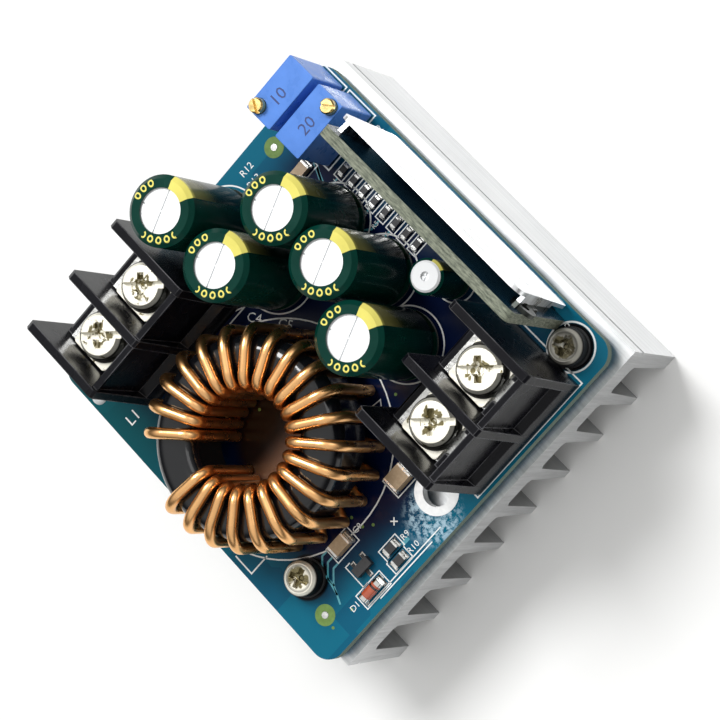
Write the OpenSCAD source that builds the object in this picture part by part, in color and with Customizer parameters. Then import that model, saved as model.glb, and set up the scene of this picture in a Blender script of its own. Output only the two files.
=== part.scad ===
// Step-down (buck) power converter module on a finned heat sink.
// Origin: centre of the heat sink's foot plane, on its middle fin. +Z up, fins run along X.

/* [Board] */
// Main board side along X and along Y
board_side = 60; // [50:0.5:70]
// Main board thickness
board_t = 1.6; // [1:0.1:2.4]
// Main board corner radius
board_r = 2.8; // [0.5:0.1:5]
// Gap between the board and the heat sink
board_gap = 1.7; // [1:0.1:5]

/* [Heat sink] */
// Heat sink side along X and along Y
sink_side = 60; // [50:0.5:80]
// Heat sink total height
sink_h = 18; // [10:0.5:40]
// Thickness of the heat sink's base plate
sink_base = 4.8; // [2:0.1:8]
// Number of fins
fin_count = 9; // [5:1:15]
// Fin thickness at the root
fin_root = 2.2; // [1:0.1:4]
// Fin thickness at the tip
fin_tip = 1.2; // [0.6:0.1:4]
// Thickness of the two outermost fins
edge_fin = 2.7; // [1:0.1:5]

/* [Inductor] */
// Number of turns on the ring core
turns = 22; // [10:1:26]
// Wire diameter
wire_d = 1.6; // [0.8:0.1:2]
// Outer radius of the wound coil
coil_r = 15.9; // [12:0.1:18]
// Free radius left open in the middle of the coil
coil_bore_r = 6.15; // [4:0.05:8]
// Height of the wound coil over the board
coil_h = 14.3; // [8:0.1:18]
// Angle taken by one turn
turn_step = 15.1; // [14:0.1:24]

/* [Capacitors] */
// Diameter of the large capacitors
cap_d = 10; // [6:0.5:13]
// Height of the large capacitors
cap_h = 20; // [10:0.5:30]
// Diameter of the small capacitor
small_cap_d = 5; // [4:0.5:8]
// Height of the small capacitor
small_cap_h = 11; // [7:0.5:16]

/* [Terminal blocks] */
// Distance between the two poles
pole_pitch = 9.5; // [7:0.1:13]
// Height of the barriers over the board
barrier_h = 17; // [12:0.5:22]
// Barrier thickness
barrier_t = 1.3; // [0.8:0.1:2.5]
// Height of the shelf that carries the contact
shelf_h = 8.6; // [5:0.1:12]
// How far a clamp screw opens
clamp_lift = 2.4; // [1:0.1:3.5]

/* [Trimmers] */
// Trimmer body width, length and height
trimmer = [4.83, 9.53, 10.03];
// Brass adjusting screw diameter
adjuster_d = 2.2; // [1.6:0.1:3]

/* [Upright boards] */
// Length of the upright control board
control_l = 36.5; // [20:0.5:50]
// Height of the upright control board and of its cover plate
control_h = 20; // [10:0.5:30]
// Length of the bright cover plate
cover_l = 34.5; // [20:0.5:50]
// Sheet thickness of the cover plate
cover_t = 0.6; // [0.3:0.1:1.5]

/* [Hidden] */
$fn = 48;
e = 0.01;
board_at = [-1, -1.2, sink_h + board_gap + board_t];   // centre of the board's top face
under = -board_t;                                      // board underside, from its top
sink_top = -board_t - board_gap;                       // heat sink top, from the board's top
fin_h = sink_h - sink_base;
coil_at = [2.9, -12.2];
coil_start = -96;
wr = wire_d / 2;
r_in = coil_bore_r + wr;
r_out = coil_r - wr;
z_top = coil_h - wr;
z_bot = wr + 0.05;
bend_in = 2;
bend_out = 3.2;
core_round = 2.4;
caps_at = [[-24.7, 3.5], [-13.5, 3.8], [-12.5, 15], [-2.2, 14.7], [7.5, 10.2]];
small_cap_at = [6.7, 21.2];
left_at = [-23.35, -13];
right_at = [21.1, 13.1];
contact_t = 0.9;
clamp_t = 0.8;
clamp_l = 6.8;
clamp_w = 7.7;
clamp_z = shelf_h + contact_t;
head_z = clamp_z + clamp_t;
clamp_shank_r = 1.75;
trimmers_at = [[-26.95, 24.5], [-20.9, 24.5]];
adjusters = [[-1, -1], [1, 1]];                        // which corner each adjusting screw is at
screws_at = [[19.1, -23.3], [24.95, 26.15]];
eyelet_at = [24.6, -1.2];
ring_pads_at = [[24.6, -25.1], [-26.8, 16.1]];
bead_at = [-22.6, -28.3];
fets_at = [[9, -13], [17, -13], [9, -4], [17, -4]];
control_at = [3.8, 27.35];
control_t = 1.6;
tabs_at = [-14, 0, 14];
cover_y = 29.75;                                       // outer face of the cover plate, at its foot
cover_lean = 3.2;
chips_at = [for (i = [0:7]) [-16.4 + 2.2 * i, 21.1]];

// ---- helpers ---------------------------------------------------------------------------

// Everything on the board is placed from the centre of the board's top face
module on_board(at = [0, 0], z = 0) {
    translate([board_at[0] + at[0], board_at[1] + at[1], board_at[2] + z]) children();
}

module tube(r1, r2, h) {
    difference() {
        cylinder(r = r2, h = h);
        translate([0, 0, -1]) cylinder(r = r1, h = h + 2);
    }
}

module block(size) {
    translate([-size[0] / 2, -size[1] / 2, 0]) cube(size);
}

// Rectangle with round corners, made of squares and circles so that it stays exact
module round_rect(w, h, r) {
    square([w - 2 * r, h], center = true);
    square([w, h - 2 * r], center = true);
    for (x = [-1, 1], y = [-1, 1]) translate([x * (w / 2 - r), y * (h / 2 - r)]) circle(r = r);
}

// Cross recess of a screw, cut from the top face down
module cross_recess(size, depth) {
    for (a = [0, 90]) rotate(a) translate([0, 0, -depth]) block([size, size * 0.28, depth + 1]);
    translate([0, 0, -depth * 1.3]) cylinder(r1 = size * 0.1, r2 = size * 0.3, h = depth * 1.3 + e);
}

// ---- heat sink -------------------------------------------------------------------------

// Y of fin i's face on the s side, at the root (t = 1) or at the tip (t = 0).
// The two outermost fins keep their outer face upright.
function fin_face(i, s, t) =
    let (pitch = (sink_side - edge_fin) / (fin_count - 1),
         edge = i == 0 || i == fin_count - 1,
         w = edge ? edge_fin / 2 - (1 - t) * 0.5 : (t * fin_root + (1 - t) * fin_tip) / 2)
    -sink_side / 2 + edge_fin / 2 + i * pitch + s * w;

module heatsink() {
    side = sink_side / 2;
    f = 0.6;       // fillet between fin and base
    g = 0.35;      // groove drawn along both side faces by the extrusion die
    gz = sink_h - 3.6;
    gaps = [for (i = [0:fin_count - 2]) each [
        [fin_face(i, 1, 0), 0], [fin_face(i, 1, 1), fin_h - f], [fin_face(i, 1, 1) + f, fin_h],
        [fin_face(i + 1, -1, 1) - f, fin_h], [fin_face(i + 1, -1, 1), fin_h - f],
        [fin_face(i + 1, -1, 0), 0]]];
    profile = concat(
        [[-side, sink_h], [-side, gz + g], [-side + g, gz], [-side, gz - g], [-side, 0]], gaps,
        [[side, 0], [side, gz - g], [side - g, gz], [side, gz + g], [side, sink_h]]);
    color([0.84, 0.85, 0.85]) difference() {
        rotate([90, 0, 90]) translate([0, 0, -side]) linear_extrude(sink_side) polygon(profile);
        for (p = screws_at)
            translate([board_at[0] + p[0], board_at[1] + p[1], sink_h - 4]) cylinder(r = 1.55, h = 5);
    }
}

// ---- main board ------------------------------------------------------------------------

module main_board() {
    color([0.03, 0.26, 0.38]) on_board(z = under) difference() {
        linear_extrude(board_t) round_rect(board_side, board_side, board_r);
        translate([0, 0, -1]) {
            for (p = screws_at) translate(p) cylinder(r = 1.65, h = 5);
            for (p = ring_pads_at) translate(p) cylinder(r = 0.45, h = 5);
            translate(eyelet_at) cylinder(r = 2.25, h = 5);
            for (p = caps_at) for (s = [-2.5, 2.5]) translate([p[0] + s, p[1]]) cylinder(r = 0.45, h = 5);
            for (s = [-1, 1]) translate([small_cap_at[0] + s, small_cap_at[1]]) cylinder(r = 0.4, h = 5);
            for (p = [left_at, right_at]) for (s = [-1, 1])
                translate([p[0] + 5, p[1] + s * pole_pitch / 2]) cylinder(r = 0.8, h = 5);
            for (p = trimmers_at) for (s = [-1:1])
                translate([p[0], p[1] + s * 2.54]) cylinder(r = 0.4, h = 5);
            for (p = lead_points()) translate(p) cylinder(r = wr + 0.12, h = 5);
            for (x = tabs_at) translate([control_at[0] + x, control_at[1]]) block([4.2, control_t + 0.2, 5]);
        }
    }
}

module board_spacers() {
    color([0.07, 0.07, 0.07]) for (p = screws_at) on_board(p, sink_top) tube(1.65, 2.9, board_gap);
}

module flat_washers() {
    color([0.06, 0.06, 0.06]) for (p = screws_at) on_board(p) tube(1.6, 2.8, 0.4);
}

module spring_washers() {
    color([0.72, 0.72, 0.7]) for (p = screws_at) on_board(p, 0.4) difference() {
        tube(1.6, 2.6, 0.7);
        rotate(-35) translate([0, -0.2, -1]) rotate([0, 0, 8]) cube([4, 0.4, 3]);
    }
}

module board_screws() {
    color([0.78, 0.77, 0.72]) for (p = screws_at) on_board(p, 1.1) difference() {
        union() {
            translate([0, 0, -1.1 + sink_top - 3.5]) cylinder(r = 1.5, h = 1.1 - sink_top + 3.5 + e);
            cylinder(r = 2.6, h = 1.2);
            translate([0, 0, 1.2]) cylinder(r1 = 2.6, r2 = 2.1, h = 0.7);
        }
        translate([0, 0, 1.9]) rotate(20) cross_recess(2.9, 0.9);
    }
}

// ---- heat path under the board -----------------------------------------------------------

module power_transistors() {
    color([0.08, 0.08, 0.09]) for (p = fets_at) on_board(p, under - 1) block([5.2, 6.2, 1]);
}

module thermal_pad() {
    color([0.55, 0.6, 0.62]) on_board([13, -8.5], sink_top) block([16, 17.5, board_gap - 1]);
}

// ---- inductor --------------------------------------------------------------------------

function polar(r, a) = [r * cos(a), r * sin(a)];
function lead_points() = [
    coil_at + polar(r_in, coil_start),
    coil_at + polar(r_out, coil_start + (turns - 1) * turn_step)
];

module toroid_core() {
    w = r_out - r_in - wire_d - 0.2;
    h = coil_h - 2 * wire_d - 0.25;
    color([0.06, 0.06, 0.065]) on_board(coil_at, wire_d + 0.15 + h / 2)
        rotate_extrude($fn = 96) translate([(r_in + r_out) / 2, 0]) round_rect(w, h, core_round);
}

// Straight piece of wire between two points
module wire(a, b) {
    d = b - a;
    l = norm(d);
    translate(a) rotate([0, acos(d[2] / l), atan2(d[1], d[0])]) cylinder(r = wr, h = l, $fn = 24);
}

// Quarter bend in the radial plane: from straight up to flat outward, or the mirror of it
module bend(radius) {
    translate([radius, 0, -radius]) rotate([90, 0, 0]) rotate([0, 0, 90])
        rotate_extrude(angle = 90, $fn = 48) translate([radius, 0]) circle(r = wr, $fn = 24);
}

module turn(i) {
    a = coil_start + i * turn_step;
    zl = i == 0 ? under - 0.9 : z_bot;
    ze = i == turns - 1 ? under - 0.9 : z_bot;
    rotate(a) {
        wire([r_in, 0, zl], [r_in, 0, z_top - bend_in]);
        translate([r_in, 0, z_top]) bend(bend_in);
        wire([r_in + bend_in, 0, z_top], [r_out - bend_out, 0, z_top]);
        translate([r_out, 0, z_top]) mirror([1, 0, 0]) bend(bend_out);
        wire([r_out, 0, ze], [r_out, 0, z_top - bend_out]);
        // elbows a hair larger than the wire, so that they close over its ends
        if (i > 0) translate([r_in, 0, z_bot]) sphere(r = wr + 0.03, $fn = 24);
        if (i < turns - 1) translate([r_out, 0, z_bot]) sphere(r = wr + 0.03, $fn = 24);
    }
    if (i < turns - 1) {
        p = polar(r_out, a);
        q = polar(r_in, a + turn_step);
        wire([p[0], p[1], z_bot], [q[0], q[1], z_bot]);
    }
}

module toroid_winding() {
    color([0.72, 0.36, 0.16]) on_board(coil_at) for (i = [0:turns - 1]) turn(i);
}

// ---- terminal blocks ---------------------------------------------------------------------
// Local u runs along X with the wire side at -u, v runs along Y.

back_u = 7.3;
foot_u = 8.3;
front_u = -7.3;
shelf_u = -5.9;
ledge_u = 3.8;
ledge_z = 10.6;
tail_w = 3.6;

module barrier() {
    rotate([90, 0, 0]) translate([0, 0, -barrier_t / 2]) linear_extrude(barrier_t)
        polygon([[front_u, 2.5], [front_u, barrier_h - 0.6], [front_u + 0.6, barrier_h],
                 [back_u - 0.4, barrier_h], [back_u, barrier_h - 0.4], [foot_u, 0], [shelf_u, 0]]);
}

module terminal_housing(at) {
    half = pole_pitch + barrier_t / 2;
    color([0.035, 0.035, 0.04]) on_board(at) difference() {
        union() {
            for (k = [-1:1]) translate([0, k * pole_pitch, 0]) barrier();
            // shelf block and back wall, one profile
            rotate([90, 0, 0]) translate([0, 0, -half]) linear_extrude(2 * half)
                polygon([[shelf_u, 0], [shelf_u, shelf_h - 0.4], [shelf_u + 0.4, shelf_h],
                         [5.9, shelf_h], [6.1, barrier_h - 0.6], [7.1, barrier_h - 0.6],
                         [6.7, 15], [6.7, 4.2], [foot_u - 0.3, 3.6], [foot_u, 0]]);
            // ledge over the contacts, in front of the back wall
            translate([ledge_u, -half, clamp_z]) cube([6.1 - ledge_u, 2 * half, ledge_z - clamp_z]);
        }
        for (s = [-1, 1]) translate([0, s * pole_pitch / 2, 0]) {
            translate([ledge_u - 1, -tail_w / 2 - 0.1, clamp_z - e]) cube([5.7 - ledge_u + 1, tail_w + 0.2, 5]);
            // well under the screw, and slot for the contact's tail
            translate([0, 0, 2.6]) cylinder(r = 2.1, h = shelf_h);
            translate([5, 0, -1]) block([contact_t + 0.2, 2.2, shelf_h + 1.5]);
        }
        // relief under the block, between its feet
        translate([0.5, 0, -1]) block([7, 2 * half - 5, 1.4]);
    }
}

module terminal_contacts(at) {
    color([0.75, 0.75, 0.72]) for (s = [-1, 1]) on_board([at[0], at[1] + s * pole_pitch / 2]) difference() {
        union() {
            translate([-4.4, -clamp_w / 2, shelf_h]) cube([9.95, clamp_w, contact_t]);
            translate([5, 0, 0]) block([contact_t, 2, shelf_h + contact_t]);
            // head of the tail, standing in the ledge's window
            translate([5, 0, shelf_h]) block([1.1, tail_w, ledge_z - shelf_h + 0.2]);
            translate([5, 0, under - 1]) block([contact_t, 1, 3]);
        }
        translate([0, 0, shelf_h - 1]) cylinder(r = clamp_shank_r + 0.08, h = 4);
    }
}

module clamp_washer(at, s) {
    color([0.82, 0.82, 0.8]) on_board([at[0], at[1] + s * pole_pitch / 2], clamp_z) difference() {
        linear_extrude(clamp_t) round_rect(clamp_l, clamp_w, 0.6);
        translate([0, 0, -1]) cylinder(r = clamp_shank_r + 0.08, h = 4);
        // ribbed underside that grips the wire
        for (x = [-2.9, 2.9]) translate([x, 0, -0.6]) rotate([0, 45, 0]) block([0.5, clamp_w + 1, 0.5]);
    }
}

module clamp_screw(at, s) {
    color([0.8, 0.79, 0.72]) on_board([at[0], at[1] + s * pole_pitch / 2], head_z) difference() {
        union() {
            translate([0, 0, -6.5]) cylinder(r = clamp_shank_r, h = 6.5 + e);
            cylinder(r = 3.4, h = 1.2);
            translate([0, 0, 1.2]) cylinder(r1 = 3.4, r2 = 2.8, h = 0.8);
        }
        translate([0, 0, 2]) rotate(45) {
            cross_recess(3.6, 1);
            translate([0, 0, -0.8]) block([8, 1, 2]);
        }
    }
}

// ---- capacitors ----------------------------------------------------------------------------

// Half outline of a can with its crimp groove; g grows it for the sleeve
module can_outline(r, h, g) {
    polygon([[0, 0.9 - g * 0], [r + g, 0.9], [r + g, 1.6], [r - 0.35 + g, 2.1], [r - 0.35 + g, 2.6],
             [r + g, 3.1], [r + g, h - 0.5 + g * 0.6], [r - 0.5 + g * 0.6, h + g], [0, h + g]]);
}

module capacitor_can(at, d, h) {
    r = d / 2 - 0.3;
    color([0.86, 0.87, 0.87]) on_board(at) difference() {
        rotate_extrude() can_outline(r, h - 0.3, 0);
        // shallow dish and cross score on the top
        translate([0, 0, h - 0.4]) cylinder(r = r - 0.75, h = 1);
        translate([0, 0, h - 0.6]) rotate(20) for (a = [0, 90]) rotate(a) block([2 * r - 2.2, 0.2, 1]);
    }
}

module capacitor_sleeve(at, d, h) {
    r = d / 2 - 0.3;
    color([0.02, 0.16, 0.13]) on_board(at) rotate_extrude() difference() {
        can_outline(r, h - 0.3, 0.3);
        can_outline(r, h - 0.3, 0.05);
        translate([-1, h - 1]) square([r - 0.55, 2]);
        translate([-1, 0]) square([r - 0.1, 1.5]);
    }
}

module capacitor_bungs() {
    color([0.05, 0.05, 0.05]) for (p = caps_at) on_board(p) difference() {
        cylinder(r = cap_d / 2 - 0.8, h = 0.9);
        for (s = [-2.5, 2.5]) translate([s, 0, -1]) cylinder(r = 0.35, h = 4);
    }
}

module capacitor_leads() {
    color([0.8, 0.8, 0.78]) for (p = caps_at) for (s = [-2.5, 2.5])
        on_board([p[0] + s, p[1]], under - 0.9) cylinder(r = 0.33, h = board_t + 1.8);
}

module small_capacitor_bung() {
    color([0.05, 0.05, 0.05]) on_board(small_cap_at) {
        cylinder(r = small_cap_d / 2 - 0.5, h = 0.9);
        for (s = [-1, 1]) translate([s, 0, under - 0.9]) cylinder(r = 0.25, h = board_t + 1);
    }
}

// ---- trimmers --------------------------------------------------------------------------------

function adjuster_at(i) = [adjusters[i][0] * (trimmer[0] / 2 - 1.35),
                           adjusters[i][1] * (trimmer[1] / 2 - 1.3)];

module trimmer_body(i) {
    color([0.1, 0.3, 0.75]) on_board(trimmers_at[i]) difference() {
        union() {
            translate([0, 0, 0.3]) linear_extrude(trimmer[2] - 0.3) round_rect(trimmer[0], trimmer[1], 0.25);
            for (x = [-1, 1], y = [-1, 1])
                translate([x * (trimmer[0] / 2 - 0.7), y * (trimmer[1] / 2 - 0.7), 0]) cylinder(r = 0.5, h = 0.4);
        }
        translate([adjuster_at(i)[0], adjuster_at(i)[1], 6.4]) cylinder(r = adjuster_d / 2 + 0.05, h = 6);
        for (s = [-1:1]) translate([0, s * 2.54, -1]) cylinder(r = 0.3, h = 3.2);
    }
}

module trimmer_screw(i) {
    color([0.85, 0.68, 0.3]) on_board(trimmers_at[i] + adjuster_at(i), 6.5) difference() {
        union() {
            cylinder(r = adjuster_d / 2, h = trimmer[2] - 6.5 + 1);
            translate([0, 0, trimmer[2] - 5.5]) cylinder(r1 = adjuster_d / 2, r2 = adjuster_d / 2 - 0.2, h = 0.2);
        }
        translate([0, 0, trimmer[2] - 5.9]) rotate(i == 0 ? -30 : 35) block([3, 0.45, 1]);
    }
}

module trimmer_pins() {
    color([0.8, 0.8, 0.78]) for (p = trimmers_at) for (s = [-1:1])
        on_board([p[0], p[1] + s * 2.54], under - 0.9) cylinder(r = 0.27, h = board_t + 2.9);
}

// ---- upright control board and its cover -----------------------------------------------------

module control_board() {
    color([0.45, 0.5, 0.42]) on_board(control_at) difference() {
        union() {
            rotate([90, 0, 0]) translate([0, control_h / 2, -control_t / 2])
                linear_extrude(control_t) round_rect(control_l, control_h, 1);
            for (x = tabs_at) translate([x, 0, under]) block([4, control_t, board_t + 1]);
        }
    }
}

// Folded from one sheet: the outer wall leans out a little, with a return at its far end and a
// holed lug at its near end
module cover_plate() {
    x0 = -13.6;
    x1 = x0 + cover_l;
    inner = control_at[1] + control_t / 2;
    foot_y = cover_y - cover_t;
    top_y = foot_y + control_h * tan(cover_lean);
    color([0.9, 0.9, 0.9]) on_board() difference() {
        union() {
            translate([(x0 + x1) / 2, cover_y, 0]) rotate([90 - cover_lean, 0, 0])
                translate([0, control_h / 2, 0]) linear_extrude(cover_t) round_rect(cover_l, control_h, 1.5);
            for (x = [x0, x1 - cover_t]) translate([x, 0, 0]) rotate([90, 0, 90]) linear_extrude(cover_t)
                polygon([[inner, 6], [foot_y + 0.5, 6], [top_y + 0.1, control_h - 3.1], [inner, control_h - 2.6]]);
            // lug against the control board
            translate([x1 - cover_t, inner, 11]) cube([1.2, cover_t, 4]);
            translate([x1 + 0.1, inner + cover_t, 15]) rotate([90, 0, 0]) cylinder(r = 1.9, h = cover_t);
        }
        translate([x1 + 0.1, inner + cover_t + 0.4, 15]) rotate([90, 0, 0]) cylinder(r = 0.8, h = 2);
    }
}

// ---- chips on the board ------------------------------------------------------------------------

module chip(at, size, a = 0) {
    on_board(at) rotate(a) block(size);
}

module chip_resistors() {
    color([0.1, 0.1, 0.11]) {
        for (p = chips_at) chip(p, [0.85, 1.6, 0.5]);
        chip([25.2, -11.4], [1.25, 2, 0.55]);
        chip([27.2, -11.7], [1.25, 2, 0.55]);
    }
}

module chip_capacitors() {
    color([0.55, 0.42, 0.28]) {
        chip([19.7, -16.3], [1.9, 3, 1.5]);
        chip([19.5, -3.4], [2.5, 3.2, 1.8]);
        chip([-21.1, 16.4], [1.6, 3.2, 1.2]);
    }
}

module chip_transistor() {
    color([0.06, 0.06, 0.07]) on_board([24.1, -16.1]) {
        translate([0, 0, 0.1]) block([1.4, 2.9, 1]);
        for (p = [[-1.05, -0.95], [-1.05, 0.95], [1.05, 0]]) translate([p[0], p[1], 0]) block([0.8, 0.45, 0.3]);
    }
}

module glass_diode() {
    color([0.45, 0.12, 0.06]) on_board([27.3, -17.4], 0.8) rotate([90, 0, 0])
        translate([0, 0, -1.75]) cylinder(r = 0.8, h = 3.5);
}

module hole_eyelet() {
    color([0.8, 0.8, 0.8]) on_board(eyelet_at) difference() {
        union() {
            cylinder(r = 3.3, h = 0.1);
            translate([0, 0, under]) cylinder(r = 2.2, h = board_t + e);
        }
        translate([0, 0, -5]) cylinder(r = 2.05, h = 10);
    }
}

module solder_bead() {
    color([0.8, 0.8, 0.8]) on_board(bead_at) intersection() {
        translate([0, 0, -0.6]) sphere(r = 1.4);
        block([4, 4, 4]);
    }
}

// ---- nodes -----------------------------------------------------------------------------------

heatsink();
main_board();
board_spacers();
board_screws();
spring_washers();
flat_washers();
power_transistors();
thermal_pad();
toroid_core();
toroid_winding();
terminal_housing(left_at);  // left_terminal_housing
terminal_contacts(left_at);  // left_terminal_contacts
terminal_housing(right_at);  // right_terminal_housing
terminal_contacts(right_at);  // right_terminal_contacts
clamp_washer(left_at, -1);  // left_clamp_washer_1
clamp_screw(left_at, -1);  // left_clamp_screw_1
clamp_washer(left_at, 1);  // left_clamp_washer_2
clamp_screw(left_at, 1);  // left_clamp_screw_2
clamp_washer(right_at, -1);  // right_clamp_washer_1
clamp_screw(right_at, -1);  // right_clamp_screw_1
clamp_washer(right_at, 1);  // right_clamp_washer_2
clamp_screw(right_at, 1);  // right_clamp_screw_2
capacitor_can(caps_at[0], cap_d, cap_h);  // capacitor_can_1
capacitor_can(caps_at[1], cap_d, cap_h);  // capacitor_can_2
capacitor_can(caps_at[2], cap_d, cap_h);  // capacitor_can_3
capacitor_can(caps_at[3], cap_d, cap_h);  // capacitor_can_4
capacitor_can(caps_at[4], cap_d, cap_h);  // capacitor_can_5
capacitor_sleeve(caps_at[0], cap_d, cap_h);  // capacitor_sleeve_1
capacitor_sleeve(caps_at[1], cap_d, cap_h);  // capacitor_sleeve_2
capacitor_sleeve(caps_at[2], cap_d, cap_h);  // capacitor_sleeve_3
capacitor_sleeve(caps_at[3], cap_d, cap_h);  // capacitor_sleeve_4
capacitor_sleeve(caps_at[4], cap_d, cap_h);  // capacitor_sleeve_5
capacitor_bungs();
capacitor_leads();
capacitor_can(small_cap_at, small_cap_d, small_cap_h);  // small_capacitor_can
capacitor_sleeve(small_cap_at, small_cap_d, small_cap_h);  // small_capacitor_sleeve
small_capacitor_bung();
trimmer_body(0);  // trimmer_body_1
trimmer_body(1);  // trimmer_body_2
trimmer_screw(0);  // trimmer_screw_1
trimmer_screw(1);  // trimmer_screw_2
trimmer_pins();
control_board();
cover_plate();
chip_resistors();
chip_capacitors();
chip_transistor();
glass_diode();
hole_eyelet();
solder_bead();
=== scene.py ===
"""Looks of a step-down power converter module on a finned heat sink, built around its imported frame."""

import bpy
import bmesh
import math
import random
from bpy.props import FloatProperty, FloatVectorProperty, PointerProperty
from mathutils import Matrix, Vector


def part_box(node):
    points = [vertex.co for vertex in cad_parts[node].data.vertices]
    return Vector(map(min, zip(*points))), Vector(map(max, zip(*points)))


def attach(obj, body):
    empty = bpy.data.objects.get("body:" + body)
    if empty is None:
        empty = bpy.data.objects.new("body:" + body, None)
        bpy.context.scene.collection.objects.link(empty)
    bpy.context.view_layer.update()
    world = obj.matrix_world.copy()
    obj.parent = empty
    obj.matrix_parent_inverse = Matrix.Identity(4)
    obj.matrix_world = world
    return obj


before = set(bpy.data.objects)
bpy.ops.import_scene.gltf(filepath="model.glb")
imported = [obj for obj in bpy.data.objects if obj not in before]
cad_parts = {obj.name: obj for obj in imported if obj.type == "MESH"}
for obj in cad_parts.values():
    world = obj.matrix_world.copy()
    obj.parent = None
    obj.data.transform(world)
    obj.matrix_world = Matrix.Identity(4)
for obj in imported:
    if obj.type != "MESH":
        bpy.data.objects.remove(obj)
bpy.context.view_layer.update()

bl_info = {
    "name": "Buck Converter Module Looks",
    "version": (1, 0, 0),
    "blender": (4, 5, 0),
    "location": "View3D > Sidebar > Module",
    "description": "Adds finishes, solder, silk marks and a studio to a packed power converter module",
    "category": "Object",
}

MM = 0.001
CAPACITORS = 5
COPPER_RISE = 0.018    # height of a lacquered trace over the board, in millimetres
BLACK = (0.02, 0.02, 0.022)


# ---- places taken from the frame -----------------------------------------------------------

def node_box(name):
    """Lowest and highest corner of a CAD node, as vectors."""
    lo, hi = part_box(name)
    return Vector(lo), Vector(hi)


def middle(name):
    """Middle of a CAD node's box."""
    lo, hi = node_box(name)
    return (lo + hi) / 2


def islands(name):
    """Boxes of a CAD node's separate solids, sorted along X and then Y."""
    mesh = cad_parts[name].data
    parent = list(range(len(mesh.vertices)))

    def root(i):
        while parent[i] != i:
            parent[i] = parent[parent[i]]
            i = parent[i]
        return i

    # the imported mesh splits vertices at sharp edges, so equal places are joined first
    first = {}
    for v in mesh.vertices:
        key = tuple(round(c * 1e6) for c in v.co)
        if key in first:
            parent[root(v.index)] = root(first[key])
        else:
            first[key] = v.index
    for edge in mesh.edges:
        parent[root(edge.vertices[0])] = root(edge.vertices[1])
    boxes = {}
    for v in mesh.vertices:
        lo, hi = boxes.setdefault(root(v.index), (v.co.copy(), v.co.copy()))
        for k in range(3):
            lo[k] = min(lo[k], v.co[k])
            hi[k] = max(hi[k], v.co[k])
    return sorted(boxes.values(), key=lambda b: (round(b[0].x, 5), round(b[0].y, 5)))


def spots(name):
    """Centre and size of each separate solid of a CAD node, in millimetres on the board."""
    return [(from_board((lo + hi) / 2), (hi - lo) / MM) for lo, hi in islands(name)]


BOARD_LO, BOARD_HI = node_box("main_board")
BOARD_MID = (BOARD_LO + BOARD_HI) / 2
TOP = BOARD_HI.z


def on_board(x, y, z=0.0):
    """Point given in millimetres from the centre of the board's top face."""
    return Vector((BOARD_MID.x + x * MM, BOARD_MID.y + y * MM, TOP + z * MM))


def from_board(p):
    """The inverse of on_board, for a point of the frame."""
    return Vector(((p.x - BOARD_MID.x) / MM, (p.y - BOARD_MID.y) / MM, (p.z - TOP) / MM))


def footprint(name):
    """Centre and size of a whole CAD node, in millimetres on the board."""
    lo, hi = node_box(name)
    return from_board((lo + hi) / 2), (hi - lo) / MM


# ---- node trees ------------------------------------------------------------------------------

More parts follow.
